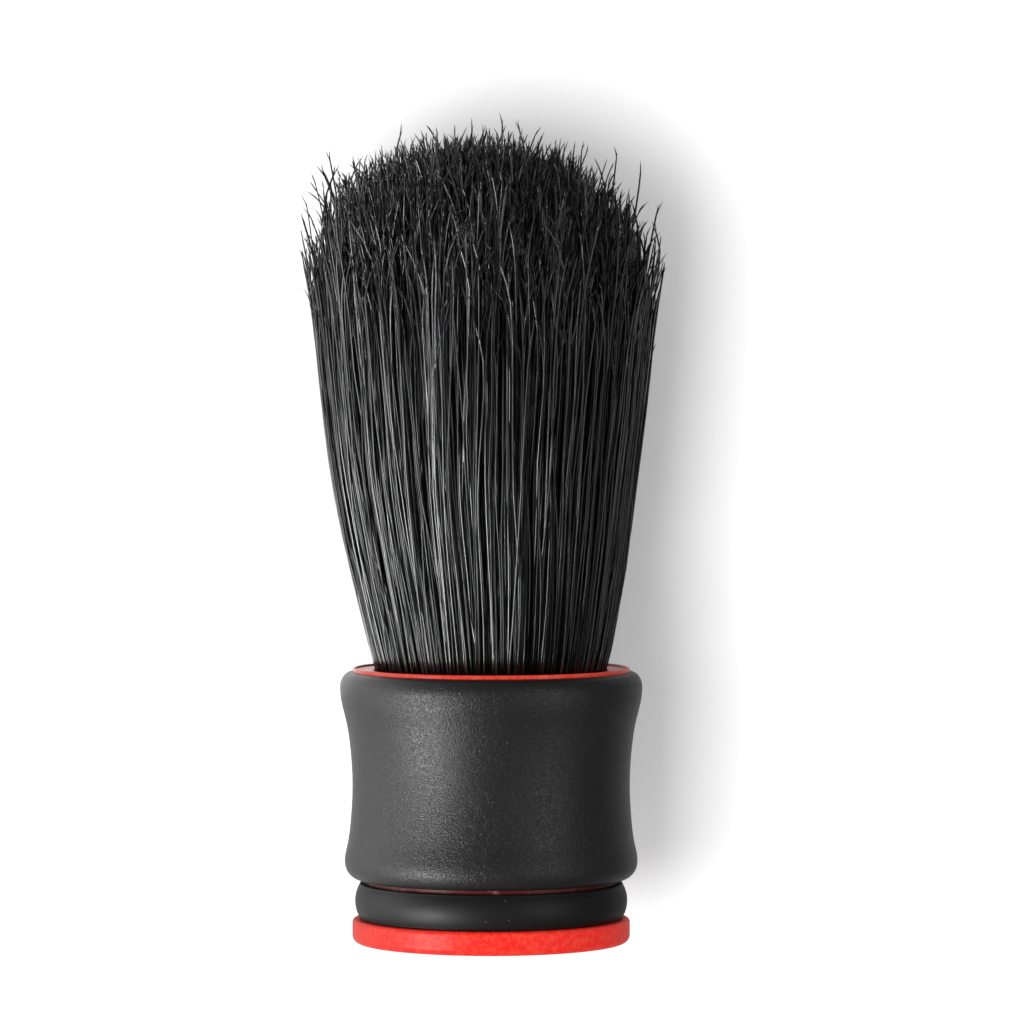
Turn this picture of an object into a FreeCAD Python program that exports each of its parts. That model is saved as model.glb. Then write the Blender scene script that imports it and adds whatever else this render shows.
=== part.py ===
"""Shaving brush: a two-colour handle with a fan-shaped knot of fibre bristles.

Millimetres.  +Z runs up the brush's axis from the underside of the foot to the tips of the bristles.
The origin is the centre of the foot's underside.  Every piece is a solid of revolution about Z.
The handle is built from the inside outwards: the knot's cup sets the socket, the socket and its wall set
the seat of the grip, and the grip's wall and flares set the outside.
"""

import FreeCAD, Part
import math
import os

from FreeCAD import Vector

# Foot: the disc that the brush stands on.
FOOT_THICKNESS = 3.0
FOOT_OVERHANG = 0.33       # beyond the belly of the band above it
FOOT_TOP_ROUND = 0.45
FOOT_BOTTOM_ROUND = 0.95

# Spigot on the foot, pushed up into the core and sealed by a ring.
SPIGOT_HEIGHT = 7.0
SPIGOT_WALL = 1.2          # under the floor of the ring's groove
SPIGOT_CLEARANCE = 0.1
SEAL_SECTION = 1.1
SEAL_HEIGHT = 4.6          # above the foot's top face
SEAL_GROOVE_PLAY = 0.3

# Band: the barrel-shaped ring between foot and grip.
BAND_HEIGHT = 4.45
BAND_EDGE_WALL = 1.57      # at its top and bottom edges
BAND_BELLY = 0.52          # how far its middle stands out past its edges
BAND_EDGE_ROUND = 0.25

# Groove between band and grip, where the core shows.
GROOVE_WIDTH = 0.5
GROOVE_DEPTH = 0.5         # below the seat of the grip
NECK_SHOULDER = 0.8        # step from the groove's floor in to the band's seat

# Core: the tube that holds everything.
SOCKET_WALL = 1.6
SOCKET_DEPTH = 14.6        # from the rim's top
SOCKET_CHAMFER = 0.15
WEB_THICKNESS = 2.0        # floor of the socket
LOWER_WALL = 1.2           # inside the band
RIM_FLANGE = 1.05          # how far the rim stands out past the seat of the grip
RIM_THICKNESS = 0.5
RIM_CONE_DROP = 0.9        # how far the rim's underside falls towards the seat
RIM_RECESS = 0.25          # depth of the flat face inside the rim's bead
BEAD_WIDTH = 0.35

# Grip: the waisted sleeve of soft rubber.
GRIP_HEIGHT = 25.85
SLEEVE_WALL = 1.1          # at the waist
TOP_FLARE = 1.55           # beyond the waist
LOWER_FLARE = 0.97         # beyond the waist
TOP_EDGE_STEP = 0.1        # of the sleeve past the rim
LOWER_EDGE_WALL = 0.15     # of the sleeve past its seat
TOP_ROUND_HEIGHT = 1.9
LOWER_ROUND_HEIGHT = 2.2
WAIST_HEIGHT = 11.8        # above the sleeve's lower end
UPPER_SWEEP = ((8.1, 0.82), (4.5, 0.25))     # height above the waist, radius beyond it
LOWER_SWEEP = ((-4.9, 0.25), (-7.4, 0.6))

# Knot: the cup, its fillings and the bristles.
CUP_RADIUS = 14.5
CUP_WALL = 0.9
CUP_FLOOR = 1.2
CUP_HEIGHT = 9.0
GLUE_FILM = 0.1            # round the cup
GLUE_PAD = 0.6             # under the cup
RESIN_DEPTH = 4.0
BINDING_CORD = 0.7
BINDING_TURNS = 3
BINDING_RISE = 0.8         # above the resin
BINDING_CLEARANCE = 0.15   # to the cup's wall
MOUTH_CLEARANCE = 0.4      # bristles to the socket's mouth
BELLY_FLARE = 7.3          # how far the bristles fan out between the mouth and the belly
BELLY_FULLNESS = 0.68      # part of that flare reached half way up
BELLY_HEIGHT = 49.7        # above the rim
DOME_HEIGHT = 16.0         # above the belly
FLEX_MARGIN = 2.8          # ball on which the bristles bend, beyond their radius at the mouth
FLEX_GAP = 0.3

# Radii, from the knot outwards.
socket_radius = CUP_RADIUS + GLUE_FILM
seat_radius = socket_radius + SOCKET_WALL
waist_radius = seat_radius + SLEEVE_WALL
rim_radius = seat_radius + RIM_FLANGE
neck_radius = seat_radius - GROOVE_DEPTH
band_seat_radius = neck_radius - NECK_SHOULDER
band_edge_radius = band_seat_radius + BAND_EDGE_WALL
band_belly_radius = band_edge_radius + BAND_BELLY
foot_radius = band_belly_radius + FOOT_OVERHANG
chamber_radius = band_seat_radius - LOWER_WALL
spigot_radius = chamber_radius - SPIGOT_CLEARANCE
seal_floor_radius = chamber_radius - SEAL_SECTION
cup_bore_radius = CUP_RADIUS - CUP_WALL
bound_radius = cup_bore_radius - BINDING_CLEARANCE - BINDING_CORD
mouth_radius = socket_radius - MOUTH_CLEARANCE
belly_radius = mouth_radius + BELLY_FLARE
flex_radius = mouth_radius + FLEX_MARGIN

# Heights above the underside of the foot.
foot_top = FOOT_THICKNESS
band_top = foot_top + BAND_HEIGHT
sleeve_bottom = band_top + GROOVE_WIDTH
rim_under = sleeve_bottom + GRIP_HEIGHT
rim_top = rim_under + RIM_THICKNESS
rim_face = rim_top - RIM_RECESS
socket_floor = rim_top - SOCKET_DEPTH
web_under = socket_floor - WEB_THICKNESS
cup_bottom = socket_floor + GLUE_PAD
resin_bottom = cup_bottom + CUP_FLOOR
resin_top = resin_bottom + RESIN_DEPTH
binding_bottom = resin_top + BINDING_RISE
binding_top = binding_bottom + BINDING_TURNS * BINDING_CORD
belly_z = rim_top + BELLY_HEIGHT
tip_z = belly_z + DOME_HEIGHT


def at(radius, height):
    """A point of a profile."""
    return Vector(radius, 0, height)


def line(start, end):
    return Part.LineSegment(start, end)


def arc(start, middle, end):
    return Part.Arc(start, middle, end)


def quarter(start, corner, end):
    """A quarter ellipse that leaves start towards corner and comes into end from it."""
    curve = Part.BSplineCurve()
    weights = [1.0, math.sqrt(0.5), 1.0]
    curve.buildFromPolesMultsKnots([start, corner, end], (3, 3), (0.0, 1.0), False, 2, weights)
    return curve


def polyline(points):
    return [line(start, end) for start, end in zip(points, points[1:])]


def turned(curves):
    """The solid that a closed profile sweeps about Z."""
    wire = Part.Wire([curve.toShape() for curve in curves])
    solid = Part.Face(wire).revolve(Vector(0, 0, 0), Vector(0, 0, 1), 360)
    if solid.Volume < 0:
        solid.reverse()
    return solid


def base_cap():
    """Foot disc with rounded edges, and the grooved spigot that plugs the core."""
    bore = seal_floor_radius - SPIGOT_WALL
    spigot_top = foot_top + SPIGOT_HEIGHT
    half_groove = (SEAL_SECTION + SEAL_GROOVE_PLAY) / 2
    groove_z = foot_top + SEAL_HEIGHT
    side_low = at(foot_radius, FOOT_BOTTOM_ROUND)
    side_high = at(foot_radius, foot_top - FOOT_TOP_ROUND)
    shoulder = at(foot_radius - FOOT_TOP_ROUND, foot_top)
    underside = at(foot_radius - FOOT_BOTTOM_ROUND, 0)
    outline = [
        line(at(0, 0), underside),
        quarter(underside, at(foot_radius, 0), side_low),
        line(side_low, side_high),
        quarter(side_high, at(foot_radius, foot_top), shoulder),
    ]
    outline += polyline([
        shoulder,
        at(spigot_radius, foot_top),
        at(spigot_radius, groove_z - half_groove),
        at(seal_floor_radius, groove_z - half_groove),
        at(seal_floor_radius, groove_z + half_groove),
        at(spigot_radius, groove_z + half_groove),
        at(spigot_radius, spigot_top),
        at(bore, spigot_top),
        at(bore, foot_top),
        at(0, foot_top),
        at(0, 0),
    ])
    return turned(outline)


def base_seal():
    """Rubber ring in the spigot's groove, just touching the core's bore."""
    ring_radius = chamber_radius - SEAL_SECTION / 2
    return Part.makeTorus(ring_radius, SEAL_SECTION / 2, at(0, foot_top + SEAL_HEIGHT))


def lower_band():
    """Barrel-shaped ring on the core's neck, held between the foot and the neck's shoulder."""
    mid_z = (foot_top + band_top) / 2
    low = at(band_edge_radius, foot_top + BAND_EDGE_ROUND)
    high = at(band_edge_radius, band_top - BAND_EDGE_ROUND)
    bottom_edge = at(band_edge_radius - BAND_EDGE_ROUND, foot_top)
    top_edge = at(band_edge_radius - BAND_EDGE_ROUND, band_top)
    outline = [
        line(at(band_seat_radius, foot_top), bottom_edge),
        quarter(bottom_edge, at(band_edge_radius, foot_top), low),
        arc(low, at(band_belly_radius, mid_z), high),
        quarter(high, at(band_edge_radius, band_top), top_edge),
        line(top_edge, at(band_seat_radius, band_top)),
        line(at(band_seat_radius, band_top), at(band_seat_radius, foot_top)),
    ]
    return turned(outline)


def handle_core():
    """Tube with a neck for the band, a seat for the grip, the socket for the knot and a beaded rim."""
    half_bead = BEAD_WIDTH / 2
    bead_foot = rim_top - half_bead
    bead_outer = at(rim_radius, bead_foot)
    bead_crest = at(rim_radius - half_bead, rim_top)
    bead_inner = at(rim_radius - BEAD_WIDTH, bead_foot)
    outline = polyline([
        at(chamber_radius, foot_top),
        at(band_seat_radius, foot_top),
        at(band_seat_radius, band_top),
        at(neck_radius, band_top),
        at(neck_radius, sleeve_bottom),
        at(seat_radius, sleeve_bottom),
        at(seat_radius, rim_under - RIM_CONE_DROP),
        at(rim_radius, rim_under),
        bead_outer,
    ])
    outline += [
        quarter(bead_outer, at(rim_radius, rim_top), bead_crest),
        quarter(bead_crest, at(rim_radius - BEAD_WIDTH, rim_top), bead_inner),
    ]
    outline += polyline([
        bead_inner,
        at(rim_radius - BEAD_WIDTH, rim_face),
        at(socket_radius + SOCKET_CHAMFER, rim_face),
        at(socket_radius, rim_face - SOCKET_CHAMFER),
        at(socket_radius, socket_floor),
        at(0, socket_floor),
        at(0, web_under),
        at(chamber_radius, web_under),
        at(chamber_radius, foot_top),
    ])
    return turned(outline)


def grip_sleeve():
    """Waisted rubber sleeve, flared at both ends and rolled in to the rim and to the groove."""
    flare_radius = waist_radius + TOP_FLARE
    heel_radius = waist_radius + LOWER_FLARE
    lip_radius = seat_radius + LOWER_EDGE_WALL
    waist_z = sleeve_bottom + WAIST_HEIGHT
    top_start = at(rim_radius + TOP_EDGE_STEP, rim_under)
    flare = at(flare_radius, rim_under - TOP_ROUND_HEIGHT)
    heel = at(heel_radius, sleeve_bottom + LOWER_ROUND_HEIGHT)
    lip = at(lip_radius, sleeve_bottom)
    down = Vector(0, 0, -1)
    sweep = Part.BSplineCurve()
    stations = [flare]
    stations += [at(waist_radius + extra, waist_z + rise) for rise, extra in UPPER_SWEEP]
    stations += [at(waist_radius, waist_z)]
    stations += [at(waist_radius + extra, waist_z + rise) for rise, extra in LOWER_SWEEP]
    stations += [heel]
    sweep.interpolate(Points=stations, InitialTangent=down, FinalTangent=down)
    outline = [
        quarter(top_start, at(flare_radius, rim_under), flare),
        sweep,
        quarter(heel, at(heel_radius, sleeve_bottom), lip),
    ]
    outline += polyline([
        lip,
        at(seat_radius, sleeve_bottom),
        at(seat_radius, rim_under - RIM_CONE_DROP),
        at(rim_radius, rim_under),
        top_start,
    ])
    return turned(outline)


def socket_glue():
    """Pad of set adhesive between the socket's floor and the cup."""
    return Part.makeCylinder(CUP_RADIUS, GLUE_PAD, at(0, socket_floor))


def knot_cup():
    """Moulded cup that the bristles are set in."""
    cup_top = cup_bottom + CUP_HEIGHT
    return turned(polyline([
        at(0, cup_bottom),
        at(CUP_RADIUS, cup_bottom),
        at(CUP_RADIUS, cup_top),
        at(cup_bore_radius, cup_top),
        at(cup_bore_radius, resin_bottom),
        at(0, resin_bottom),
        at(0, cup_bottom),
    ]))


def resin_plug():
    """Resin that the lower ends of the bristles are cast into."""
    return Part.makeCylinder(cup_bore_radius, RESIN_DEPTH, at(0, resin_bottom))


def knot_binding():
    """Turns of cord wound round the bristles above the resin."""
    half_cord = BINDING_CORD / 2
    bead_centre = bound_radius + half_cord
    outline = [line(at(bound_radius, binding_top), at(bound_radius, binding_bottom))]
    outline += [line(at(bound_radius, binding_bottom), at(bead_centre, binding_bottom))]
    for turn in range(BINDING_TURNS):
        low = binding_bottom + turn * BINDING_CORD
        outline += [arc(
            at(bead_centre, low),
            at(bead_centre + half_cord, low + half_cord),
            at(bead_centre, low + BINDING_CORD),
        )]
    outline += [line(at(bead_centre, binding_top), at(bound_radius, binding_top))]
    return turned(outline)


def bristle_bundle():
    """Whole bundle: tied in the cup, opening from the mouth to the belly, and domed at the tips."""
    half_way = mouth_radius + BELLY_FLARE * BELLY_FULLNESS
    dome_radius = (belly_radius ** 2 + DOME_HEIGHT ** 2) / (2 * DOME_HEIGHT)
    dome_centre = tip_z - dome_radius
    shoulder = math.radians(45)
    mouth = at(mouth_radius, rim_top)
    belly = at(belly_radius, belly_z)
    on_dome = at(dome_radius * math.sin(shoulder), dome_centre + dome_radius * math.cos(shoulder))
    outline = polyline([
        at(0, resin_top),
        at(bound_radius, resin_top),
        at(bound_radius, binding_top),
        mouth,
    ])
    outline += [
        arc(mouth, at(half_way, rim_top + BELLY_HEIGHT / 2), belly),
        arc(belly, on_dome, at(0, tip_z)),
        line(at(0, tip_z), at(0, resin_top)),
    ]
    return turned(outline)


def flex_ball(radius):
    """Ball about the bending point at the rim, with all that lies below that point in the socket."""
    ball = Part.makeSphere(radius, at(0, rim_top))
    below = Part.makeCylinder(socket_radius, rim_top - resin_bottom, at(0, resin_bottom))
    return ball.fuse(below)


def bristle_root():
    """Lower part of the bundle, which stays with the handle and ends in a ball."""
    return bristle_bundle().common(flex_ball(flex_radius))


def bristle_tuft():
    """Free part of the bundle, hollowed below to bend over the root's ball."""
    return bristle_bundle().cut(flex_ball(flex_radius + FLEX_GAP))


PIECES = {
    "base_cap": base_cap,
    "base_seal": base_seal,
    "lower_band": lower_band,
    "handle_core": handle_core,
    "grip_sleeve": grip_sleeve,
    "socket_glue": socket_glue,
    "knot_cup": knot_cup,
    "resin_plug": resin_plug,
    "knot_binding": knot_binding,
    "bristle_root": bristle_root,
    "bristle_tuft": bristle_tuft,
}

os.makedirs("parts", exist_ok=True)
for name, make in PIECES.items():
    shape = make()
    shape.exportStep(f"parts/{name}.step")
    box = shape.BoundBox
    print(f"{name:14s} solids {len(shape.Solids)} valid {shape.isValid()} volume {shape.Volume:9.1f} mm3"
          f"  z {box.ZMin:6.2f} to {box.ZMax:6.2f}  radius {box.XMax:5.2f}")
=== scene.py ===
"""Shaving brush: the finishes of its handle, its bristles and a plain studio, as add-on operators.

Everything is in metres in the part's own frame: +Z up the brush, the origin under the middle of its foot.
"""
import math

import bpy
import numpy as np
from bpy.props import FloatProperty, FloatVectorProperty, IntProperty, PointerProperty
from bpy.types import Operator, Panel, PropertyGroup
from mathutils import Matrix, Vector


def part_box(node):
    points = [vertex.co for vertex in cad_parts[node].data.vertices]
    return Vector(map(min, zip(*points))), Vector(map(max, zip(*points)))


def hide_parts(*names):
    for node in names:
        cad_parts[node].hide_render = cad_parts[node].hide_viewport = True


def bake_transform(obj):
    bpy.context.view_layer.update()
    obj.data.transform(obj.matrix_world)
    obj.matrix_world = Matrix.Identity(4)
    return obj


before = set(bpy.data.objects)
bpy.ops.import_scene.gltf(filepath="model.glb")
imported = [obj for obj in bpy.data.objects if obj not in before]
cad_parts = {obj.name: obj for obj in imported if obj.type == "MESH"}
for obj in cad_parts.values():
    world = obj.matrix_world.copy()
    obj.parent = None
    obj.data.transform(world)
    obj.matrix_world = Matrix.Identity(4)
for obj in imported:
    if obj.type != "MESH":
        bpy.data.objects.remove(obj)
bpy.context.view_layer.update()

bl_info = {
    "name": "Shaving Brush",
    "version": (1, 0, 0),
    "blender": (4, 5, 0),
    "location": "View3D > Sidebar > Brush",
    "description": "Finishes and bristles of a two-colour shaving brush",
    "category": "Object",
}

MM = 0.001

# Heights and radii of the CAD nodes that the finishes and the bristles are fitted to.
FOOT_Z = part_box("base_cap")[0].z
GROOVE_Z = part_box("grip_sleeve")[0].z
RIM_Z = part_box("handle_core")[1].z
BINDING_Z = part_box("knot_binding")[1].z
BINDING_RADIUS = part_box("knot_binding")[1].x
ROOT_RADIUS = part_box("bristle_root")[1].x
TIP_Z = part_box("bristle_tuft")[1].z
BELLY_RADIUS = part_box("bristle_tuft")[1].x


# Node trees ---------------------------------------------------------------------------------------------

class Tree:
    """A node tree with short ways to add and join its nodes."""

    def __init__(self, tree):
        self.tree = tree

    def add(self, kind, **settings):
        node = self.tree.nodes.new(kind)
        for key, value in settings.items():
            setattr(node, key, value)
        return node

    def join(self, source, target):
        """Sets a socket to a value, or links it to another socket."""
        if isinstance(source, bpy.types.NodeSocket):
            self.tree.links.new(source, target)
        else:
            target.default_value = source

    def math(self, operation, first, second=0.0, clamp=False):
        node = self.add("ShaderNodeMath", operation=operation, use_clamp=clamp)
        self.join(first, node.inputs[0])
        self.join(second, node.inputs[1])
        return node.outputs[0]

    def fade(self, value, low, high):
        """0 below low and 1 above high, easing between them."""
        node = self.add("ShaderNodeMapRange", interpolation_type="SMOOTHSTEP")
        self.join(value, node.inputs["Value"])
        self.join(low, node.inputs["From Min"])
        self.join(high, node.inputs["From Max"])
        return node.outputs["Result"]

    def span(self, value, low, high):
        """A value from 0 to 1, spread over low to high."""
        node = self.add("ShaderNodeMapRange")
        self.join(value, node.inputs["Value"])
        self.join(low, node.inputs["To Min"])
        self.join(high, node.inputs["To Max"])
        return node.outputs["Result"]

    def mix(self, factor, first, second):
        node = self.add("ShaderNodeMix", data_type="RGBA")
        self.join(factor, node.inputs[0])
        self.join(first, node.inputs[6])
        self.join(second, node.inputs[7])
        return node.outputs[2]

    def stretch(self, vector, factors):
        node = self.add("ShaderNodeVectorMath", operation="MULTIPLY")
        self.join(vector, node.inputs[0])
        self.join(factors, node.inputs[1])
        return node.outputs[0]

    def noise(self, vector, scale, detail=2.0, roughness=0.5, distortion=0.0):
        node = self.add("ShaderNodeTexNoise")
        self.join(vector, node.inputs["Vector"])
        self.join(scale, node.inputs["Scale"])
        self.join(detail, node.inputs["Detail"])
        self.join(roughness, node.inputs["Roughness"])
        self.join(distortion, node.inputs["Distortion"])
        return node.outputs["Fac"]

    def cells(self, vector, scale, feature="F1"):
        node = self.add("ShaderNodeTexVoronoi", feature=feature)
        self.join(vector, node.inputs["Vector"])
        self.join(scale, node.inputs["Scale"])
        return node.outputs["Distance"]

    def bump(self, height, depth):
        node = self.add("ShaderNodeBump")
        self.join(height, node.inputs["Height"])
        self.join(depth, node.inputs["Distance"])
        return node.outputs["Normal"]


def new_group(name, inputs, outputs):
    """An empty node group, its tree helper, and its input and output nodes."""
    group = bpy.data.node_groups.new(name, "ShaderNodeTree")
    for title, kind, default in inputs:
        socket = group.interface.new_socket(name=title, in_out="INPUT", socket_type=kind)
        if default is not None:
            socket.default_value = default
    for title, kind in outputs:
        group.interface.new_socket(name=title, in_out="OUTPUT", socket_type=kind)
    tree = Tree(group)
    return group, tree, tree.add("NodeGroupInput"), tree.add("NodeGroupOutput")


def grain_group():
    """Moulded grain: soft pebbles with fine creases between them, as on leather or soft-touch rubber."""
    group, tree, given, result = new_group(
        "Moulded Grain",
        [
            ("Vector", "NodeSocketVector", None),
            ("Pebble Size", "NodeSocketFloat", 0.4),
            ("Crease", "NodeSocketFloat", 0.6),
        ],
        [("Height", "NodeSocketFloat"), ("Patch", "NodeSocketFloat")],
    )
    flattened = (1, 1, 1.35)
    drift_scale = 0.35
    drift_reach = 0.9
    fine_scale = 2.6
    fine_share = 0.15
    soft_scale = 0.8
    soft_share = 0.8
    patch_scale = 0.07
    vector = tree.stretch(given.outputs["Vector"], flattened)
    per_mm = tree.math("DIVIDE", 1.0, given.outputs["Pebble Size"])
    drift = tree.noise(vector, tree.math("MULTIPLY", per_mm, drift_scale), 2.0)
    bent = tree.add("ShaderNodeVectorMath", operation="ADD")
    tree.join(vector, bent.inputs[0])
    tree.join(tree.math("MULTIPLY", drift, drift_reach), bent.inputs[1])
    crease = tree.cells(bent.outputs[0], per_mm, "DISTANCE_TO_EDGE")
    pebble = tree.fade(crease, 0.0, 0.5)
    fine = tree.noise(vector, tree.math("MULTIPLY", per_mm, fine_scale), 2.0, 0.6)
    soft = tree.noise(vector, tree.math("MULTIPLY", per_mm, soft_scale), 1.0)
    creased = tree.math("MULTIPLY", pebble, given.outputs["Crease"])
    fine = tree.math("MULTIPLY", fine, fine_share)
    soft = tree.math("MULTIPLY", soft, soft_share)
    rest = tree.math("ADD", fine, soft)
    tree.join(tree.math("ADD", creased, rest), result.inputs["Height"])
    patch = tree.noise(vector, tree.math("MULTIPLY", per_mm, patch_scale), 3.0, 0.6, 0.6)
    tree.join(patch, result.inputs["Patch"])
    return group


def wear_group():
    """Handling: pale lint specks, fine scuffs that run round the brush, and a slow drift of tone."""
    group, tree, given, result = new_group(
        "Handling Wear",
        [
            ("Vector", "NodeSocketVector", None),
            ("Dust", "NodeSocketFloat", 0.3),
            ("Scuff", "NodeSocketFloat", 0.3),
        ],
        [("Dust", "NodeSocketFloat"), ("Scuff", "NodeSocketFloat"), ("Tone", "NodeSocketFloat")],
    )
    specks_per_mm = 0.9
    speck_radius = 0.13
    speck_core = 0.08
    ragged_per_mm = 9.0
    ragged_reach = 0.1
    patches_per_mm = 0.21
    round_the_brush = (0.5, 0.5, 7.0)
    scuffed_per_mm = 0.16
    tones_per_mm = 0.09
    vector = given.outputs["Vector"]
    specks = tree.cells(vector, specks_per_mm)
    ragged = tree.math("MULTIPLY", tree.noise(vector, ragged_per_mm, 1.0), ragged_reach)
    small = tree.fade(tree.math("ADD", specks, ragged), speck_radius, speck_core)
    patches = tree.fade(tree.noise(vector, patches_per_mm, 2.0), 0.52, 0.62)
    dust = tree.math("MULTIPLY", small, patches)
    dust = tree.math("MULTIPLY", dust, given.outputs["Dust"], clamp=True)
    tree.join(dust, result.inputs["Dust"])
    lines = tree.noise(tree.stretch(vector, round_the_brush), 1.0, 3.0, 0.65, 0.3)
    where = tree.fade(tree.noise(vector, scuffed_per_mm, 2.0), 0.5, 0.72)
    scuff = tree.math("MULTIPLY", tree.fade(lines, 0.56, 0.7), where)
    scuff = tree.math("MULTIPLY", scuff, given.outputs["Scuff"], clamp=True)
    tree.join(scuff, result.inputs["Scuff"])
    tree.join(tree.noise(vector, tones_per_mm, 3.0, 0.55), result.inputs["Tone"])
    return group


def effect(name, build):
    """A shared node group, built the first time that a material asks for it."""
    return bpy.data.node_groups.get(name) or build()


def new_material(name):
    """A material with a Principled shader; returns it, its tree helper and the shader."""
    material = bpy.data.materials.new(name)
    material.use_nodes = True
    tree = Tree(material.node_tree)
    shader = next(n for n in material.node_tree.nodes if n.type == "BSDF_PRINCIPLED")
    return material, tree, shader


def in_millimetres(tree):
    """Object coordinates, in millimetres."""
    place = tree.add("ShaderNodeTexCoord").outputs["Object"]
    return tree.stretch(place, (1 / MM,) * 3)


def use_group(tree, group, vector, **values):
    node = tree.add("ShaderNodeGroup", node_tree=group)
    tree.join(vector, node.inputs["Vector"])
    for title, value in values.items():
        node.inputs[title.replace("_", " ")].default_value = value
    return node


def wear(tree, vector, dust, scuff):
    return use_group(tree, effect("Handling Wear", wear_group), vector, Dust=dust, Scuff=scuff)


def grain(tree, vector, size, crease):
    return use_group(tree, effect("Moulded Grain", grain_group), vector, Pebble_Size=size, Crease=crease)


def height_over(tree, low, high):
    """0 at one height and 1 at another, from the object's own Z."""
    place = tree.add("ShaderNodeTexCoord").outputs["Object"]
    parts = tree.add("ShaderNodeSeparateXYZ")
    tree.join(place, parts.inputs[0])
    return tree.fade(parts.outputs["Z"], low, high)


def give(node, material):
    """Puts a material on a CAD node."""
    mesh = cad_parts[node].data
    mesh.materials.clear()
    mesh.materials.append(material)


# Materials ----------------------------------------------------------------------------------------------

LINT_ON_RUBBER = (0.2, 0.19, 0.18, 1)
LINT_ON_BAND = (0.22, 0.21, 0.2, 1)
LINT_ON_RED = (0.5, 0.38, 0.36, 1)
PALE_SCUFF = (0.55, 0.07, 0.035, 1)
# Painted shade for the groove under the grip, and paler patches in it that are partly lint and partly
# painted highlight.
GROOVE_SHADE = (0.07, 0.006, 0.004, 1)
GROOVE_SHADE_LINT_AND_HIGHLIGHT = (0.26, 0.11, 0.1, 1)
# Painted shade where the filaments leave the socket, together with their resin stain.
ROOT_SHADE_AND_STAIN = (0.004, 0.002, 0.0018, 1)
GROOVE_DEPTH = 0.6 * MM


def shade(colour, factor=1.0):
    """An opaque colour, scaled in brightness."""
    return (*[part * factor for part in colour], 1)


def rubber_material(settings):
    """Soft-touch rubber with a leather-like grain, rubbed a little shinier in patches."""
    material, tree, shader = new_material("Grip Rubber")
    crease = 0.55
    palest = 1.35
    lint_share = 0.35
    rubbed = 0.08
    place = in_millimetres(tree)
    pebbles = grain(tree, place, settings.grain_size / MM, crease)
    marks = wear(tree, place, 0.5, 0.5)
    tone = tree.span(marks.outputs["Tone"], 0.0, 1.0)
    colour = tree.mix(tone, shade(settings.rubber_colour), shade(settings.rubber_colour, palest))
    lint = tree.math("MULTIPLY", marks.outputs["Dust"], lint_share)
    colour = tree.mix(lint, colour, LINT_ON_RUBBER)
    tree.join(colour, shader.inputs["Base Color"])
    rough = tree.span(pebbles.outputs["Patch"], 0.37, 0.46)
    rough = tree.math("SUBTRACT", rough, tree.math("MULTIPLY", marks.outputs["Scuff"], rubbed))
    tree.join(rough, shader.inputs["Roughness"])
    tree.join(tree.bump(pebbles.outputs["Height"], settings.grain_depth), shader.inputs["Normal"])
    shader.inputs["Specular IOR Level"].default_value = 0.52
    return material


def band_material(settings):
    """Smooth satin black plastic with hairline handling marks and a little lint."""
    material, tree, shader = new_material("Band Plastic")
    skin_size = 0.16
    skin_depth = 0.004 * MM
    palest = 1.5
    scratched = 0.2
    place = in_millimetres(tree)
    fine = grain(tree, place, skin_size, 0.2)
    marks = wear(tree, place, 0.7, 0.7)
    colour = tree.mix(marks.outputs["Tone"], shade(settings.band_colour),
                      shade(settings.band_colour, palest))
    colour = tree.mix(marks.outputs["Dust"], colour, LINT_ON_BAND)
    tree.join(colour, shader.inputs["Base Color"])
    rough = tree.span(fine.outputs["Patch"], 0.46, 0.56)
    rough = tree.math("ADD", rough, tree.math("MULTIPLY", marks.outputs["Scuff"], scratched))
    tree.join(rough, shader.inputs["Roughness"])
    tree.join(tree.bump(fine.outputs["Height"], skin_depth), shader.inputs["Normal"])
    shader.inputs["Specular IOR Level"].default_value = 0.33
    return material


def red_material(name, red, gloss, worn, shade_heights=None):
    """Moulded red plastic: satin, mottled, slightly translucent and scuffed. red is its colour, gloss its
    lowest roughness and worn its share of pale scuffs; below shade_heights it is painted dark as the
    groove's shade, with paler patches of lint and painted highlight."""
    material, tree, shader = new_material(name)
    skin_size = 0.5
    skin_depth = 0.006 * MM
    deepest = 0.82
    mottles_per_mm = 1.5
    mottled = 0.45
    roughness_range = 0.14
    scuffed = 0.25
    place = in_millimetres(tree)
    skin = grain(tree, place, skin_size, 0.15)
    marks = wear(tree, place, 0.5, 0.9)
    colour = tree.mix(marks.outputs["Tone"], shade(red, deepest), shade(red))
    mottle = tree.fade(tree.noise(place, mottles_per_mm, 3.0, 0.65), 0.42, 0.62)
    warmer = (red[0], red[1] + 0.045, red[2] + 0.02, 1)
    colour = tree.mix(tree.math("MULTIPLY", mottle, mottled), colour, warmer)
    colour = tree.mix(tree.math("MULTIPLY", marks.outputs["Scuff"], worn), colour, PALE_SCUFF)
    colour = tree.mix(marks.outputs["Dust"], colour, LINT_ON_RED)
    rough = tree.span(skin.outputs["Patch"], gloss, gloss + roughness_range)
    rough = tree.math("ADD", rough, tree.math("MULTIPLY", marks.outputs["Scuff"], scuffed))
    # Painted shade of the groove: dark red below its top, with paler patches that are partly lint and
    # partly painted highlight.
    if shade_heights is not None:
        lint_per_mm = 0.35
        matt = 0.15
        low = height_over(tree, shade_heights[1], shade_heights[0])
        lint = tree.fade(tree.noise(place, lint_per_mm, 3.0), 0.5, 0.66)
        colour = tree.mix(low, colour, tree.mix(lint, GROOVE_SHADE, GROOVE_SHADE_LINT_AND_HIGHLIGHT))
        rough = tree.math("ADD", rough, tree.math("MULTIPLY", low, matt))
    tree.join(colour, shader.inputs["Base Color"])
    tree.join(rough, shader.inputs["Roughness"])
    tree.join(tree.bump(skin.outputs["Height"], skin_depth), shader.inputs["Normal"])
    shader.inputs["Specular IOR Level"].default_value = 0.26
    shader.inputs["Subsurface Weight"].default_value = 0.12
    shader.inputs["Subsurface Radius"].default_value = (1.0, 0.1, 0.05)
    shader.inputs["Subsurface Scale"].default_value = 0.5 * MM
    return material


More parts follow.
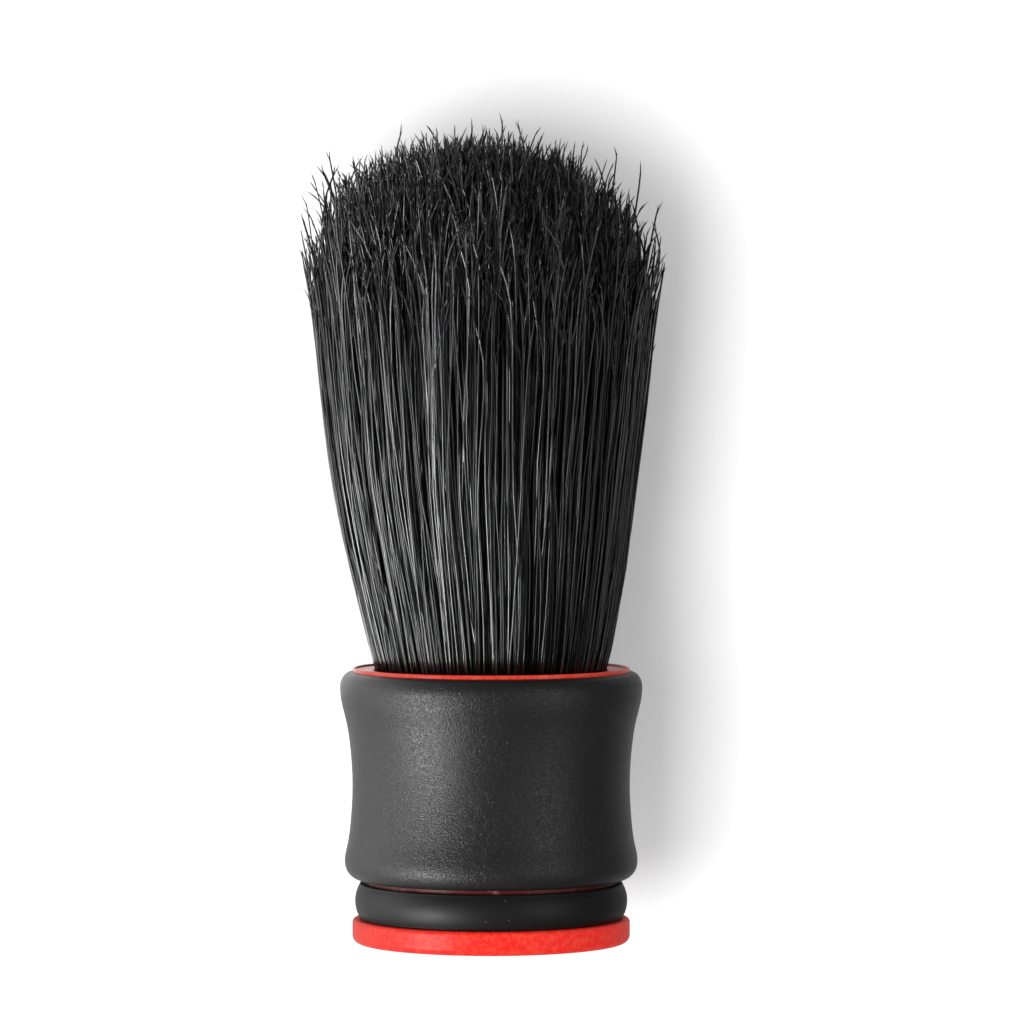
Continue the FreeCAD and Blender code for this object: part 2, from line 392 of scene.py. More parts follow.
def plain_material(name, colour, roughness, spread, grain_size, depth):
    """A hidden piece's finish: a moulded or cast skin with some drift of tone and gloss."""
    material, tree, shader = new_material(name)
    place = in_millimetres(tree)
    skin = grain(tree, place, grain_size, 0.4)
    marks = wear(tree, place, 0.2, 0.3)
    tint = tree.mix(marks.outputs["Tone"], shade(colour), shade(colour, spread))
    tree.join(tint, shader.inputs["Base Color"])
    tree.join(tree.span(skin.outputs["Patch"], roughness, roughness + 0.15), shader.inputs["Roughness"])
    tree.join(tree.bump(skin.outputs["Height"], depth), shader.inputs["Normal"])
    return material


def cord_material():
    """Waxed binding cord: fibres that wind up and over the ring's turns."""
    material, tree, shader = new_material("Binding Cord")
    place = in_millimetres(tree)
    twist = tree.add("ShaderNodeTexWave", wave_type="BANDS", bands_direction="DIAGONAL")
    tree.join(place, twist.inputs["Vector"])
    twist.inputs["Scale"].default_value = 1.4
    twist.inputs["Distortion"].default_value = 1.5
    strands = twist.outputs["Fac"]
    tree.join(tree.mix(strands, (0.32, 0.27, 0.2, 1), (0.6, 0.54, 0.44, 1)), shader.inputs["Base Color"])
    tree.join(tree.span(strands, 0.75, 0.6), shader.inputs["Roughness"])
    tree.join(tree.bump(strands, 0.06 * MM), shader.inputs["Normal"])
    return material


def bristle_material(settings):
    """Black filament: each its own depth of black and gloss, darker and browner where it leaves the socket,
    partly resin stain and partly painted shade of the rim.
    """
    material, tree, shader = new_material("Bristle Filament")
    tone = tree.add("ShaderNodeAttribute", attribute_name="tone").outputs["Fac"]
    along = tree.add("ShaderNodeAttribute", attribute_name="along").outputs["Fac"]
    darkest = 0.25
    lightest = 4.5
    mostly_dark = 2.5
    frayed = 7.5
    gloss_range = 0.2
    colour = tree.mix(tree.math("POWER", tone, mostly_dark), shade(settings.colour, darkest),
                      shade(settings.colour, lightest))
    tip = tree.math("MULTIPLY", tree.fade(along, 0.84, 0.97), tree.math("POWER", tone, 1.4))
    colour = tree.mix(tree.math("MULTIPLY", tip, 0.8), colour, shade(settings.colour, frayed))
    # Painted shade of the socket's rim on the filaments' lowest part, together with their resin stain.
    root = tree.fade(along, 0.118, 0.088)
    colour = tree.mix(tree.math("MULTIPLY", root, 0.9), colour, ROOT_SHADE_AND_STAIN)
    tree.join(colour, shader.inputs["Base Color"])
    gloss = tree.span(tone, settings.roughness + gloss_range, settings.roughness)
    tree.join(tree.math("ADD", gloss, tree.math("MULTIPLY", root, 0.5)), shader.inputs["Roughness"])
    tree.join(tree.fade(tone, 0.03, 0.5), shader.inputs["Coat Weight"])
    shader.inputs["Coat Roughness"].default_value = 0.24
    shader.inputs["Coat IOR"].default_value = 1.62
    shader.inputs["Specular IOR Level"].default_value = 0.32
    return material


# Bristles -----------------------------------------------------------------------------------------------

SECTORS = 6
SURFACE_SHARE = 0.72            # filaments past this share of the radius are finely divided
SURFACE_RINGS = 15
CORE_RINGS = 8
SPLIT_RINGS = 4
SPLIT_CHANCES = (0.62, 0.45)    # each chance lays another point on that share of the filaments
SPLIT_THINNESS = 0.64
SPLIT_LENGTHS = (0.8, 2.3)
SPLIT_LEANS = (0.06, 0.34)
SPLIT_OVERLAP = 0.55            # share of a split end that lies within its filament
SPLIT_DROOP = 0.25
ABOVE_BINDING = 0.2 * MM

MOUTH_INSET = 1.25 * MM         # from the root's side to the outermost filaments at the rim
BINDING_INSET = 0.85 * MM       # from the cord's outside to the filaments that it ties
ARC_HEIGHT = 50 * MM            # where the bundle's outline reaches the belly
ARC_EASE = 0.65                 # how much sooner it opens than a straight cone
DOME_RISE = 16 * MM

LOCK_PULL = 0.47                # how far the filaments of a lock have drawn together at its top
LOCK_FROM = 8 * MM
LOCK_OVER = 40 * MM
LOCK_AIM = 0.5 * MM
AIM_HEIGHT = 60 * MM
STEADY_AIM = 1.25
WILD_AIM = 3.2
WILD_CHANCE = 0.2
WAVE_LENGTHS = (46 * MM, 17 * MM)
WAVE_REACHES = (0.16, 0.07)
WAVE_FROM = 20 * MM
CURL = 1.1 * MM
CURL_OVER = 9 * MM
CURL_POWER = 2.2
LOOSE_BELOW = 0.08 * MM
LOOSE_ABOVE = 1.5 * MM
LOOSE_FROM = 38 * MM
LOOSE_OVER = 16 * MM
BUNDLE_LEAN = -0.85 * MM
LEAN_OVER = 26 * MM

SHORT_CHANCE = 0.13
SHORTER = 2.6 * MM
LONGER = 1.1 * MM
EDGE_SHORTER = 9 * MM
EDGE_SHARE = 0.75               # the bundle's edge, whose filaments may be shorter, starts here
TIP_SLOPE = 0.085               # the domed tips are lower on the right by this much
STRAY_CHANCE = 0.05
STRAY_SHARE = 0.96
STRAY_OVER = 30 * MM
STRAY_BOWS = (0.3, 1.3)
STRAY_FROM = (2, 26)

TIP_RINGS = np.array([5.5, 3.0, 1.2, 0.0]) * MM          # from the tip down
TAPER_AT = (0, 1.2 * MM, 6 * MM, 70 * MM)                # from the tip down
TAPER = (0.4, 0.85, 1, 1.05)
SPLIT_TAPER = (1.0, 0.95, 0.75, 0.3)                     # from its root to its point


def deselect():
    if bpy.context.object is not None and bpy.context.object.mode != "OBJECT":
        bpy.ops.object.mode_set(mode="OBJECT")
    bpy.ops.object.select_all(action="DESELECT")


def model_filament(name, rings):
    """One straight filament of unit radius and unit spacing between rings, shaped by extruding a
    three-sided disc and closing its last ring to a point. Returns its corners and its faces."""
    deselect()
    bpy.ops.mesh.primitive_circle_add(vertices=3, radius=1, fill_type="NGON", enter_editmode=True)
    made = bpy.context.object
    made.name = name
    bpy.ops.mesh.select_all(action="SELECT")
    bpy.ops.mesh.flip_normals()
    for _ in range(rings - 1):
        bpy.ops.mesh.extrude_region_move(TRANSFORM_OT_translate={"value": (0, 0, 1)})
    bpy.ops.mesh.merge(type="CENTER")
    bpy.ops.mesh.select_all(action="SELECT")
    bpy.ops.mesh.normals_make_consistent(inside=False)
    bpy.ops.mesh.quads_convert_to_tris()
    bpy.ops.object.mode_set(mode="OBJECT")
    mesh = made.data
    corners = np.array([v.co for v in mesh.vertices], float)
    faces = np.array([list(p.vertices) for p in mesh.polygons], int)
    bpy.data.objects.remove(made)
    bpy.data.meshes.remove(mesh)
    return corners, faces


def lay_along(filament, paths, radii, roll):
    """Copies of a filament laid along paths. paths is filaments x rings x 3; radii is filaments x rings.
    Returns corners, faces, and each corner's filament and ring."""
    corners, faces = filament
    count, rings = paths.shape[:2]
    ring = np.rint(corners[:, 2]).astype(int)
    run = np.gradient(paths, axis=1)
    run /= np.linalg.norm(run, axis=2, keepdims=True)
    side = np.cross(run, np.array([0.0, 1.0, 0.0]))
    side /= np.linalg.norm(side, axis=2, keepdims=True)
    across = np.cross(run, side)
    turn = np.arctan2(corners[:, 1], corners[:, 0])[None] + roll[:, None]
    reach = np.hypot(corners[:, 0], corners[:, 1])[None] * radii[:, ring]
    placed = paths[:, ring]
    placed = placed + side[:, ring] * (reach * np.cos(turn))[..., None]
    placed = placed + across[:, ring] * (reach * np.sin(turn))[..., None]
    offsets = np.arange(count) * len(corners)
    all_faces = faces[None] + offsets[:, None, None]
    owner = np.repeat(np.arange(count), len(corners))
    return placed.reshape(-1, 3), all_faces.reshape(-1, 3), owner, np.tile(ring, count)


def outline_radius(height):
    """The bundle's radius at a height above the rim: tied in the socket, then one arc to the belly."""
    mouth = ROOT_RADIUS - MOUTH_INSET
    bound = BINDING_RADIUS - BINDING_INSET
    share = np.clip(height / ARC_HEIGHT, 0, 1.2)
    above = mouth + (BELLY_RADIUS - mouth) * share * (1 + ARC_EASE - ARC_EASE * share)
    below = mouth + (mouth - bound) * height / (RIM_Z - BINDING_Z)
    return np.where(height < 0, below, above)


def dome_height(radius):
    """Height of the domed tips above the rim, at a distance from the axis."""
    ball = (BELLY_RADIUS ** 2 + DOME_RISE ** 2) / (2 * DOME_RISE)
    return TIP_Z - RIM_Z - ball + np.sqrt(np.maximum(ball ** 2 - radius ** 2, 0))


class Bundle:
    """Where every filament runs, drawn once so that its layers share the same crowd."""

    def __init__(self, settings, chance):
        count = settings.count
        self.count = count
        self.share = np.sqrt(chance.random(count))
        self.angle = chance.random(count) * 2 * math.pi
        clumps = settings.clumps
        home = np.sqrt(chance.random(clumps))
        home_angle = chance.random(clumps) * 2 * math.pi
        homes = np.stack([home * np.cos(home_angle), home * np.sin(home_angle)], 1)
        here = np.stack([self.share * np.cos(self.angle), self.share * np.sin(self.angle)], 1)
        gaps = ((here[:, None] - homes[None]) ** 2).sum(2)
        nearest = gaps.argmin(1)
        self.spot = here
        self.pull = homes[nearest] - here
        lock_aim = chance.normal(0, LOCK_AIM, (clumps, 2))
        wild = np.where(chance.random(count) < WILD_CHANCE, WILD_AIM, STEADY_AIM)
        self.aim = chance.normal(0, 1, (count, 2)) * wild[:, None] * MM + lock_aim[nearest]
        self.wave = chance.normal(0, 1, (count, 2, 2)) * np.array(WAVE_REACHES)[None, :, None] * MM
        self.phase = chance.random((count, 2, 2)) * 2 * math.pi
        self.curl = chance.normal(0, 1, (count, 2)) * CURL
        radius = self.share * BELLY_RADIUS
        spread = np.abs(chance.normal(0, 1, count))
        short = np.where(chance.random(count) < SHORT_CHANCE, -0.9, 1.0) * spread
        outer = np.clip((self.share - EDGE_SHARE) / (1 - EDGE_SHARE), 0, 1)
        uneven = np.where(short > 0, short * SHORTER, short * LONGER)
        uneven = uneven + outer * chance.random(count) ** 1.6 * EDGE_SHORTER
        strays = (chance.random(count) < STRAY_CHANCE) & (self.share > STRAY_SHARE)
        self.bow = np.where(strays, chance.uniform(*STRAY_BOWS, count), 0.0) * MM
        self.bow_from = chance.uniform(*STRAY_FROM, count) * MM
        across = self.spot[:, 0] * BELLY_RADIUS
        self.end = dome_height(radius) - uneven - TIP_SLOPE * across
        self.start = BINDING_Z - RIM_Z + ABOVE_BINDING

    def path(self, pick, heights):
        """Points of the picked filaments at heights above the rim (filaments x rings)."""
        over = np.clip(heights, 0, None)
        pull = LOCK_PULL * np.clip((over - LOCK_FROM) / LOCK_OVER, 0, 1) ** 1.3
        spot = self.spot[pick][:, None] + self.pull[pick][:, None] * pull[..., None]
        radius = outline_radius(heights)
        flat = spot * radius[..., None]
        flat = flat + self.aim[pick][:, None] * (over / AIM_HEIGHT)[..., None]
        grow = np.clip(over / WAVE_FROM, 0, 1)
        for order, length in enumerate(WAVE_LENGTHS):
            swing = np.sin(2 * math.pi * heights[..., None] / length + self.phase[pick][:, None, order])
            flat = flat + self.wave[pick][:, None, order] * swing * grow[..., None]
        last = np.clip((over - (self.end[pick] - CURL_OVER)[:, None]) / CURL_OVER, 0, 1.3)
        flat = flat + self.curl[pick][:, None] * (last ** CURL_POWER)[..., None]
        reach = np.linalg.norm(flat, axis=2)
        loose = LOOSE_BELOW + LOOSE_ABOVE * np.clip((over - LOOSE_FROM) / LOOSE_OVER, 0, 1) ** 2
        limit = radius + loose
        flat = flat * np.where(reach > limit, limit / np.maximum(reach, 1e-9), 1.0)[..., None]
        bowed = np.sin(math.pi * np.clip((over - self.bow_from[pick][:, None]) / STRAY_OVER, 0, 1))
        flat = flat * (1 + self.bow[pick][:, None] * bowed / radius)[..., None]
        ease = np.clip(over / LEAN_OVER, 0, 1)
        lean = BUNDLE_LEAN * ease * ease * (3 - 2 * ease)
        return np.stack([flat[..., 0] + lean, flat[..., 1], RIM_Z + heights], 2)


def stem_heights(bundle, pick, rings):
    """Ring heights of each picked filament, from the binding to its end, closer together at its tip."""
    tip = bundle.end[pick][:, None] - TIP_RINGS
    share = np.linspace(0, 1, rings - len(TIP_RINGS) + 1)[None, :-1]
    return np.concatenate([bundle.start + (tip[:, :1] - bundle.start) * share, tip], 1)


def bristle_mesh(name, layers, material):
    """One mesh of many filaments, with each filament's tone and how far along it each corner lies."""
    corners = np.concatenate([layer["corners"] for layer in layers])
    sizes = np.cumsum([0] + [len(layer["corners"]) for layer in layers])
    faces = np.concatenate([layer["faces"] + start for layer, start in zip(layers, sizes)])
    tone = np.concatenate([layer["tone"] for layer in layers])
    along = np.concatenate([layer["along"] for layer in layers])
    mesh = bpy.data.meshes.new(name)
    mesh.vertices.add(len(corners))
    mesh.vertices.foreach_set("co", corners.astype(np.float32).ravel())
    mesh.loops.add(len(faces) * 3)
    mesh.loops.foreach_set("vertex_index", faces.astype(np.int32).ravel())
    mesh.polygons.add(len(faces))
    mesh.polygons.foreach_set("loop_start", np.arange(0, len(faces) * 3, 3, dtype=np.int32))
    mesh.update(calc_edges=True)
    mesh.polygons.foreach_set("use_smooth", np.ones(len(faces), bool))
    counts = np.cumsum([0] + [layer["owner"][-1] + 1 for layer in layers])
    cells = np.concatenate([layer["owner"] + first for layer, first in zip(layers, counts)])
    turns = np.concatenate([layer["turn"] for layer in layers])
    # The map gives each filament one cell of a square grid, unrolled with its length upwards.
    margin = 0.08
    side_width = 0.28
    cell_height = 0.84
    across = math.ceil(math.sqrt(counts[-1]))
    spot = cells[faces[:, 0]]
    turn = turns[faces]
    turn = np.where((turn == 0) & (turn.max(1) == 2)[:, None], 3, turn)
    where = np.stack([
        (spot[:, None] % across + margin + side_width * turn) / across,
        (spot[:, None] // across + margin + cell_height * along[faces]) / across,
    ], 2)
    mesh.uv_layers.new(name="OFBake").uv.foreach_set("vector", where.astype(np.float32).ravel())
    for title, values in (("tone", tone), ("along", along)):
        layer = mesh.attributes.new(title, "FLOAT", "POINT")
        layer.data.foreach_set("value", values.astype(np.float32))
    mesh.materials.append(material)
    made = bpy.data.objects.new(name, mesh)
    bpy.context.scene.collection.objects.link(made)
    return made


def laid(filament, paths, radii, roll, tone, along):
    """A layer of filaments, ready for bristle_mesh."""
    corners, faces, owner, ring = lay_along(filament, paths, radii, roll)
    section = filament[0][:, :2]
    third = np.rint(np.arctan2(section[:, 1], section[:, 0]) / (2 * math.pi / 3)) % 3
    third = np.where(np.hypot(section[:, 0], section[:, 1]) < 0.01, 1, third)
    return {
        "corners": corners, "faces": faces, "owner": owner, "turn": np.tile(third, len(paths)),
        "tone": tone[owner], "along": along[owner, ring],
    }


def split_ends(bundle, pick, split, chance, tone, thin):
    """The frayed tips: from each picked filament's end, a few finer points that lean apart and curl."""
    count = len(pick)
    length = chance.uniform(*SPLIT_LENGTHS, count) * MM
    base = bundle.end[pick] - length * SPLIT_OVERLAP
    share = np.linspace(0, 1, SPLIT_RINGS)[None]
    heights = base[:, None] + length[:, None] * share
    paths = bundle.path(pick, heights)
    angle = chance.random(count) * 2 * math.pi
    lean = chance.uniform(*SPLIT_LEANS, count) * length
    off = lean[:, None] * share ** 1.4
    paths[..., 0] += off * np.cos(angle)[:, None]
    paths[..., 1] += off * np.sin(angle)[:, None]
    paths[..., 2] -= off * SPLIT_DROOP
    radii = thin[:, None] * np.array(SPLIT_TAPER)[None]
    return laid(split, paths, radii, angle, tone, np.ones((count, SPLIT_RINGS)))


# Settings -----------------------------------------------------------------------------------------------

class BRUSH_PG_handle(PropertyGroup):
    foot_colour: FloatVectorProperty(
        name="Foot", description="Colour of the red foot",
        subtype="COLOR", size=3, min=0, max=1, default=(0.6, 0.005, 0.001))
    core_colour: FloatVectorProperty(
        name="Core", description="Colour of the inner handle, duller than the foot from handling",
        subtype="COLOR", size=3, min=0, max=1, default=(0.5, 0.026, 0.015))
    rubber_colour: FloatVectorProperty(
        name="Rubber", description="Colour of the grip's rubber",
        subtype="COLOR", size=3, min=0, max=1, default=(0.0066, 0.0066, 0.0065))
    band_colour: FloatVectorProperty(
        name="Band", description="Colour of the lower band's plastic",
        subtype="COLOR", size=3, min=0, max=1, default=(0.0038, 0.0038, 0.0039))
    grain_size: FloatProperty(
        name="Grain Size", description="Width of one pebble of the grip's grain",
        unit="LENGTH", min=0.00005, max=0.005, default=0.27 * MM)
    grain_depth: FloatProperty(
        name="Grain Depth", description="Height of the grip's grain",
        unit="LENGTH", min=0, max=0.001, default=0.046 * MM)


class BRUSH_PG_bristles(PropertyGroup):
    count: IntProperty(name="Filaments", description="How many filaments the bundle has",
                       min=100, max=20000, default=6400)
    clumps: IntProperty(name="Clumps", description="How many small locks they gather into towards the tips",
                        min=10, max=2000, default=420)
    thickness: FloatProperty(name="Thickness", description="Diameter of one filament",
                             unit="LENGTH", min=0.00005, max=0.001, default=0.28 * MM)
    colour: FloatVectorProperty(name="Colour", description="Middle colour of the filaments",
                                subtype="COLOR", size=3, min=0, max=1, default=(0.004, 0.004, 0.0044))
    roughness: FloatProperty(name="Roughness", description="Roughness of the glossiest filaments",
                             subtype="FACTOR", min=0.05, max=1, default=0.2)
    seed: IntProperty(name="Seed", description="Seed of the bundle's random draws", default=11)


class BRUSH_PG_studio(PropertyGroup):
    backdrop_gap: FloatProperty(
        name="Backdrop Gap", description="From the widest bristles to the pale backdrop",
        unit="LENGTH", min=0, max=1, default=1.0 * MM)
    key_power: FloatProperty(name="Key Power", description="Power of the low soft light in front",
                             unit="POWER", min=0, default=3.7)
    side_power: FloatProperty(name="Side Power", description="Power of the low soft light on the left",
                              unit="POWER", min=0, default=4.0)
    wall_power: FloatProperty(name="Wall Power", description="Power of the pale wall of light far left",
                              unit="POWER", min=0, default=1.5)
    glint_power: FloatProperty(name="Glint Power", description="Power of the small soft light on the right",
                               unit="POWER", min=0, default=0.6)
    ambient: FloatProperty(name="Ambient", description="Strength of the light from all round",
                           min=0, max=4, default=1.12)
    distance: FloatProperty(name="Camera Distance", description="From the brush's axis to the camera",
                            unit="LENGTH", min=0.1, max=5, default=0.685)
    focal_length: FloatProperty(name="Focal Length", description="Lens of the camera",
                                unit="CAMERA", min=10, max=500, default=193.4)


# Operators ----------------------------------------------------------------------------------------------

class BRUSH_OT_finish_core(Operator):
    """Finish the red core and the foot"""
    bl_idname = "brush.finish_core"
    bl_label = "Finish Core and Foot"

    def execute(self, context):
        settings = context.scene.brush_handle
        give("base_cap", red_material("Foot Plastic", settings.foot_colour, 0.4, 0.3))
        # The handle core is painted dark below the top of the groove, as the groove's shade.
        groove = (GROOVE_Z, GROOVE_Z + GROOVE_DEPTH)
        give("handle_core", red_material("Core Plastic", settings.core_colour, 0.24, 0.9, groove))
        return {"FINISHED"}


class BRUSH_OT_finish_grip(Operator):
    """Finish the rubber grip"""
    bl_idname = "brush.finish_grip"
    bl_label = "Finish Grip"

    def execute(self, context):
        give("grip_sleeve", rubber_material(context.scene.brush_handle))
        return {"FINISHED"}


class BRUSH_OT_finish_band(Operator):
    """Finish the lower band"""
    bl_idname = "brush.finish_band"
    bl_label = "Finish Band"

    def execute(self, context):
        give("lower_band", band_material(context.scene.brush_handle))
        return {"FINISHED"}


class BRUSH_OT_finish_inside(Operator):
    """Finish what is inside: seal, glue, cup, resin and binding"""
    bl_idname = "brush.finish_inside"
    bl_label = "Finish Inside Pieces"

    def execute(self, context):
        give("base_seal", plain_material("Seal Rubber", (0.012, 0.012, 0.012), 0.5, 1.4, 0.3, 0.004 * MM))
        give("socket_glue", plain_material("Set Glue", (0.5, 0.46, 0.34), 0.3, 0.8, 1.2, 0.05 * MM))
        give("knot_cup", plain_material("Cup Plastic", (0.02, 0.02, 0.02), 0.45, 1.5, 0.4, 0.008 * MM))
        give("resin_plug", plain_material("Casting Resin", (0.3, 0.19, 0.07), 0.12, 0.6, 2.0, 0.03 * MM))
        give("knot_binding", cord_material())
        return {"FINISHED"}


class BRUSH_OT_grow_bristles(Operator):
    """Lay the filaments, sector by sector, from the binding to their frayed tips"""
    bl_idname = "brush.grow_bristles"
    bl_label = "Grow Bristles"

    def execute(self, context):
        settings = context.scene.brush_bristles
        chance = np.random.default_rng(settings.seed)
        bundle = Bundle(settings, chance)
        material = bristle_material(settings)
        tone = chance.random(bundle.count)
        radius = settings.thickness / 2 * chance.uniform(0.8, 1.15, bundle.count)
        roll = chance.random(bundle.count) * 2 * math.pi
        outer = model_filament("outer_filament", SURFACE_RINGS)
        inner = model_filament("inner_filament", CORE_RINGS)
        split = model_filament("split_end", SPLIT_RINGS)
        slot = np.floor(bundle.angle / (2 * math.pi) * SECTORS).astype(int)
        for sector in range(SECTORS):
            mine = np.flatnonzero(slot == sector)
            layers = []
            for filament, rings, picked in (
                (outer, SURFACE_RINGS, mine[bundle.share[mine] > SURFACE_SHARE]),
                (inner, CORE_RINGS, mine[bundle.share[mine] <= SURFACE_SHARE]),
            ):
                heights = stem_heights(bundle, picked, rings)
                end = bundle.end[picked][:, None]
                taper = np.interp(end - heights, TAPER_AT, TAPER)
                along = (heights - bundle.start) / (end - bundle.start)
                layers.append(laid(
                    filament, bundle.path(picked, heights), radius[picked][:, None] * taper,
                    roll[picked], tone[picked], along))
            for chosen in SPLIT_CHANCES:
                picked = mine[chance.random(len(mine)) < chosen]
                thin = radius[picked] * SPLIT_THINNESS
                layers.append(split_ends(bundle, picked, split, chance, tone[picked], thin))
            piece = bristle_mesh(f"bristles_{sector + 1}", layers, material)
            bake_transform(piece)
            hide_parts("bristle_root", "bristle_tuft")
        return {"FINISHED"}


BACKDROP_SIZE = 0.6
BACKDROP_TILT = math.radians(96.2)          # its foot stands further back than its top
BACKDROP_ALBEDO = 0.78
FLOOR_SIZE = 4
FLOOR_GAP = 0.02 * MM
FLOOR_ALBEDO = 0.35
LIGHT_DISTANCE = 0.6
KEY_SIZE = (0.26, 0.34)
KEY_WAY = (-0.3, -0.9, -0.14)
CARD_POWER = 0.006
CARD_SIZE = (0.05, 0.04)
CARD_TARGET = (-36 * MM, 0, 48 * MM)        # beside the rim, so that only its flat face mirrors the card
CARD_BEHIND_SHEET = 8 * MM
GLOSS_LEFT = 0.8
GLOSS_RIGHT = 0.41
GLOSS_ALL_ROUND = 0.05
LIGHT_FROM_ABOVE = 0.72
MORE_FROM_BELOW = 0.25
WHITE_TO_THE_EYE = 1.05
CAMERA_ASIDE = 2.6 * MM
CAMERA_HEIGHT = 74.6 * MM
CAMERA_TILT = math.radians(90 - 1.75)       # level would be 90 degrees


def soft_light(name, power, size, direction, distance, target):
    """A rectangular soft light that faces the target from a direction."""
    lamp = bpy.data.lights.new(name, "AREA")
    lamp.energy = power
    lamp.shape = "RECTANGLE"
    lamp.size, lamp.size_y = size
    holder = bpy.data.objects.new(name, lamp)
    way = Vector(direction).normalized()
    holder.location = Vector(target) + way * distance
    holder.rotation_mode = "QUATERNION"
    holder.rotation_quaternion = way.to_track_quat("Z", "Y")
    bpy.context.scene.collection.objects.link(holder)
    return holder


def stage_plane(name, size, location, rotation, albedo, glow):
    """A pale sheet of the stage. Returns it, its tree helper and its shader."""
    deselect()
    bpy.ops.mesh.primitive_plane_add(size=1, location=location, rotation=rotation)
    sheet = bpy.context.object
    sheet.name = name
    sheet.scale = (size, size, 1)
    bpy.ops.object.transform_apply(location=True, rotation=True, scale=True)
    material, tree, shader = new_material(name)
    shader.inputs["Base Color"].default_value = (albedo, albedo, albedo, 1)
    shader.inputs["Roughness"].default_value = 1.0
    shader.inputs["Specular IOR Level"].default_value = 0.0
    shader.inputs["Emission Color"].default_value = (1, 1, 1, 1)
    shader.inputs["Emission Strength"].default_value = glow
    sheet.data.materials.append(material)
    return sheet, tree, shader


def clear_behind(tree, shader):
    """Lets the back of a sheet be seen through, so that views from behind it stay open."""
    clear = tree.add("ShaderNodeBsdfTransparent")
    both = tree.add("ShaderNodeMixShader")
    output = next(n for n in tree.tree.nodes if n.type == "OUTPUT_MATERIAL")
    tree.join(tree.add("ShaderNodeNewGeometry").outputs["Backfacing"], both.inputs[0])
    tree.join(shader.outputs[0], both.inputs[1])
    tree.join(clear.outputs[0], both.inputs[2])
    tree.join(both.outputs[0], output.inputs["Surface"])


def surroundings(context, ambient):
    """White all round to the eye; on matt surfaces nearly even light, a little more of it from below; and
    for gloss, a studio that is pale behind and on the left and dark in front."""
    world = bpy.data.worlds.new("surroundings")
    context.scene.world = world
    world.use_nodes = True
    tree = Tree(world.node_tree)
    backdrop = next(n for n in world.node_tree.nodes if n.type == "BACKGROUND")
    way = tree.add("ShaderNodeSeparateXYZ")
    tree.join(tree.add("ShaderNodeTexCoord").outputs["Generated"], way.inputs[0])
    leftward = tree.fade(way.outputs["X"], 0.5, -0.4)
    not_in_front = tree.fade(way.outputs["Y"], -0.5, 0.3)
    behind = tree.fade(way.outputs["Y"], 0.25, 0.95)
    left = tree.math("MULTIPLY", tree.math("MULTIPLY", leftward, not_in_front), GLOSS_LEFT)
    right = tree.math("MULTIPLY", behind, GLOSS_RIGHT)
    gloss = tree.math("ADD", tree.math("MAXIMUM", left, right), GLOSS_ALL_ROUND)
    rays = tree.add("ShaderNodeLightPath").outputs
    low = tree.math("MULTIPLY", tree.fade(way.outputs["Z"], 0.5, -0.5), MORE_FROM_BELOW)
    low = tree.math("ADD", low, LIGHT_FROM_ABOVE)
    matt = tree.math("MULTIPLY", rays["Is Diffuse Ray"], tree.math("MULTIPLY", low, ambient))
    shiny = tree.math("MULTIPLY", rays["Is Glossy Ray"], gloss)
    seen = tree.math("MULTIPLY", rays["Is Camera Ray"], WHITE_TO_THE_EYE)
    tree.join(tree.math("ADD", tree.math("ADD", matt, shiny), seen), backdrop.inputs["Strength"])
    backdrop.inputs["Color"].default_value = (1, 1, 1, 1)


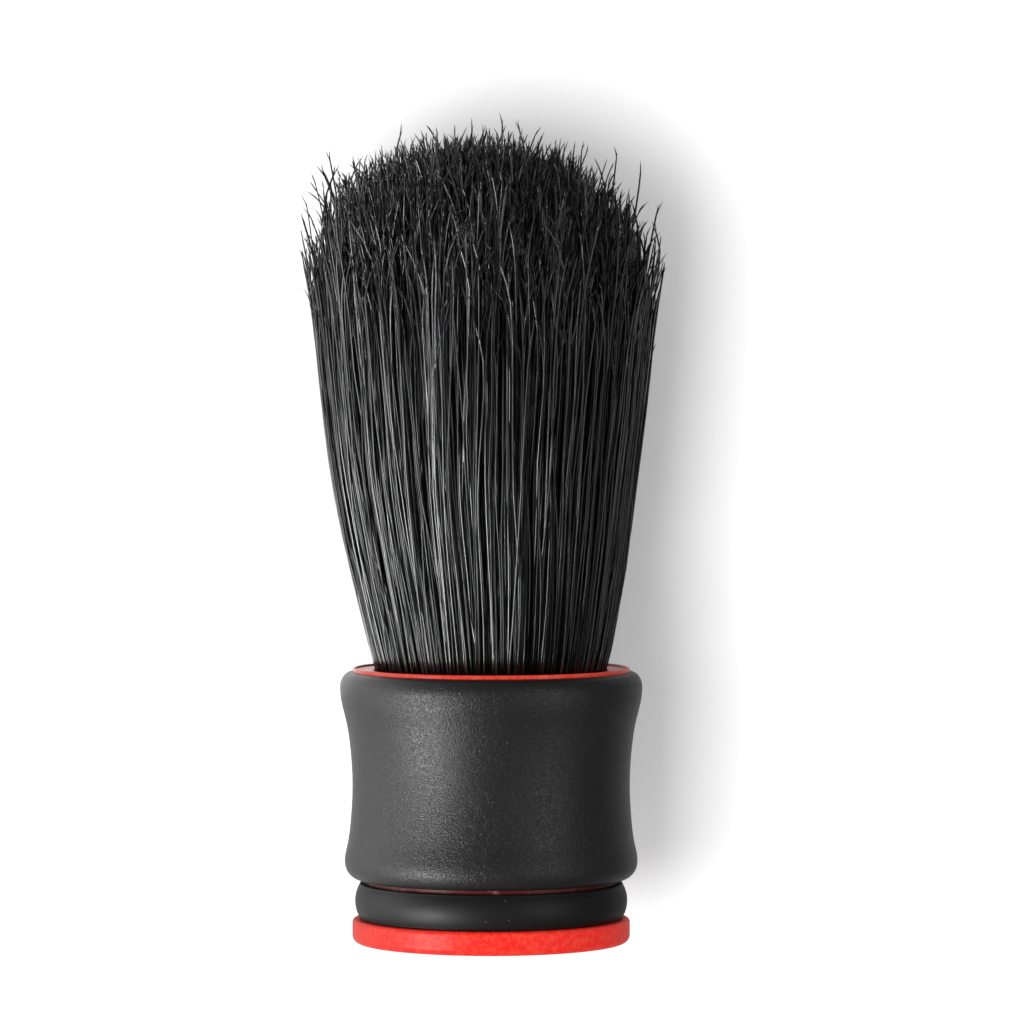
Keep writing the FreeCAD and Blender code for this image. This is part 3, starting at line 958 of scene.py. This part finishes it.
class BRUSH_OT_build_studio(Operator):
    """Set the pale floor and backdrop, the soft lights, the surroundings and the camera"""
    bl_idname = "brush.build_studio"
    bl_label = "Build Studio"

    def execute(self, context):
        settings = context.scene.brush_studio
        middle = Vector((0, 0, (TIP_Z + FOOT_Z) / 2))
        behind = BELLY_RADIUS + settings.backdrop_gap
        floor, _, _ = stage_plane(
            "floor", FLOOR_SIZE, (0, 0, FOOT_Z - FLOOR_GAP), (0, 0, 0), FLOOR_ALBEDO, 1.0)
        for way in ("diffuse", "glossy", "transmission", "shadow"):
            setattr(floor, f"visible_{way}", False)
        sheet, tree, shader = stage_plane(
            "backdrop", BACKDROP_SIZE, (0, behind, TIP_Z), (BACKDROP_TILT, 0, 0), BACKDROP_ALBEDO, 0.0)
        sheet.visible_glossy = False
        clear_behind(tree, shader)
        key = soft_light("key_light", settings.key_power, KEY_SIZE, KEY_WAY, LIGHT_DISTANCE, middle)
        key.visible_glossy = False
        for name, power, size, way in (
            ("side_light", settings.side_power, (0.2, 0.22), (-0.79, -0.58, -0.37)),
            ("wall_light", settings.wall_power, (0.5, 0.6), (-1, 0.05, 0.12)),
            ("glint_light", settings.glint_power, (0.1, 0.4), (0.72, -0.69, 0)),
        ):
            shine = soft_light(name, power, size, way, LIGHT_DISTANCE, middle)
            shine.visible_diffuse = False
        card = soft_light(
            "card_light", CARD_POWER, CARD_SIZE, (0, 1, 0), behind + CARD_BEHIND_SHEET, CARD_TARGET)
        card.visible_diffuse = False
        card.visible_camera = False
        surroundings(context, settings.ambient)

        lens = bpy.data.cameras.new("camera")
        lens.sensor_width = 36
        lens.lens = settings.focal_length
        lens.clip_start = 0.01
        camera = bpy.data.objects.new("camera", lens)
        camera.location = (CAMERA_ASIDE, -settings.distance, CAMERA_HEIGHT)
        camera.rotation_euler = (CAMERA_TILT, 0, 0)
        context.scene.collection.objects.link(camera)
        context.scene.camera = camera
        context.scene.view_settings.view_transform = "Standard"
        return {"FINISHED"}


class BRUSH_PT_panel(Panel):
    """Sizes, colours and steps of the brush"""
    bl_idname = "BRUSH_PT_panel"
    bl_label = "Shaving Brush"
    bl_space_type = "VIEW_3D"
    bl_region_type = "UI"
    bl_category = "Brush"

    def draw(self, context):
        for settings, steps in (
            (context.scene.brush_handle, HANDLE_STEPS),
            (context.scene.brush_bristles, BRISTLE_STEPS),
            (context.scene.brush_studio, STUDIO_STEPS),
        ):
            box = self.layout.box()
            for key in settings.__annotations__:
                box.prop(settings, key)
            for step in steps:
                box.operator(step.bl_idname)


HANDLE_STEPS = (BRUSH_OT_finish_core, BRUSH_OT_finish_grip, BRUSH_OT_finish_band, BRUSH_OT_finish_inside)
BRISTLE_STEPS = (BRUSH_OT_grow_bristles,)
STUDIO_STEPS = (BRUSH_OT_build_studio,)
GROUPS = {
    "brush_handle": BRUSH_PG_handle,
    "brush_bristles": BRUSH_PG_bristles,
    "brush_studio": BRUSH_PG_studio,
}
CLASSES = (*GROUPS.values(), *HANDLE_STEPS, *BRISTLE_STEPS, *STUDIO_STEPS, BRUSH_PT_panel)


def register():
    for each in CLASSES:
        bpy.utils.register_class(each)
    for key, group in GROUPS.items():
        setattr(bpy.types.Scene, key, PointerProperty(type=group))


def unregister():
    for key in GROUPS:
        delattr(bpy.types.Scene, key)
    for each in reversed(CLASSES):
        bpy.utils.unregister_class(each)


def main():
    register()
    bpy.ops.brush.build_studio()
    bpy.ops.brush.finish_core()
    bpy.ops.brush.finish_grip()
    bpy.ops.brush.finish_band()
    bpy.ops.brush.finish_inside()
    bpy.ops.brush.grow_bristles()


if __name__ == "__main__":
    main()
